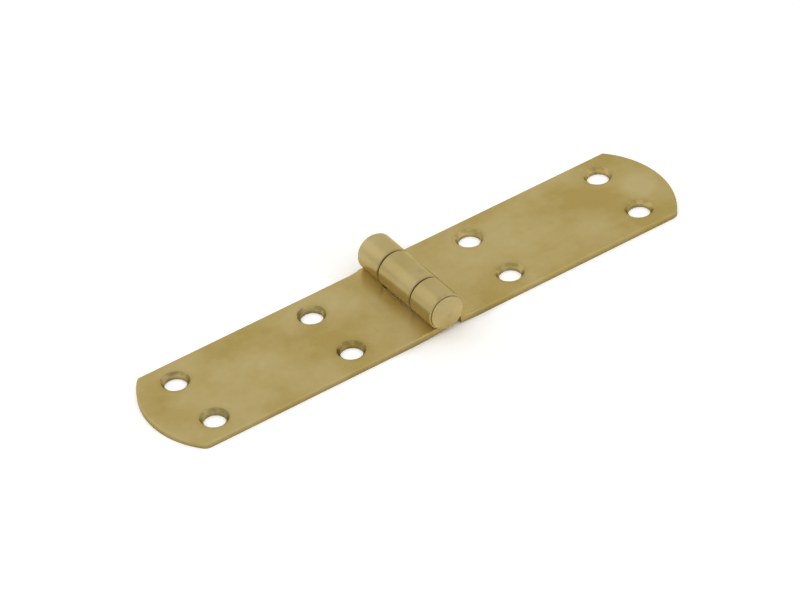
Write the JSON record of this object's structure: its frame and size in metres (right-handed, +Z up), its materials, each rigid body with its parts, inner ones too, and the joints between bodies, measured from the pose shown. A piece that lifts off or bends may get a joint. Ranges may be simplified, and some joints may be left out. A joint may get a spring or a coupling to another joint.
{
  "type": "butt hinge",
  "caption": "Long-leaf butt hinge of rolled sheet steel with arched leaf ends, countersunk screw holes and a riveted pin; swings two panels about one edge.",
  "frame": {"origin": "middle of the underside, straight below the pin axis, with the hinge lying open flat", "axes": "+X along the leaves towards the one-knuckle leaf, +Y along the pin, +Z up from the mounting face towards the barrel"},
  "size_m": [0.17, 0.0362, 0.012],
  "materials": {
    "leaf_zinc": "yellow passivated zinc plate, satin",
    "pin_zinc": "yellow passivated zinc plate, satin"
  },
  "bodies": {
    "fixed_leaf": {"two_knuckle_leaf": "leaf_zinc", "hinge_pin": "pin_zinc"},
    "moving_leaf": {"one_knuckle_leaf": "leaf_zinc"}
  },
  "joints": [
    {"name": "fold", "type": "hinge", "parent": "fixed_leaf", "child": "moving_leaf", "pos_m": [0, 0, 0.0064], "axis": [0, -1, 0], "range_deg": [0, 180]}
  ]
}
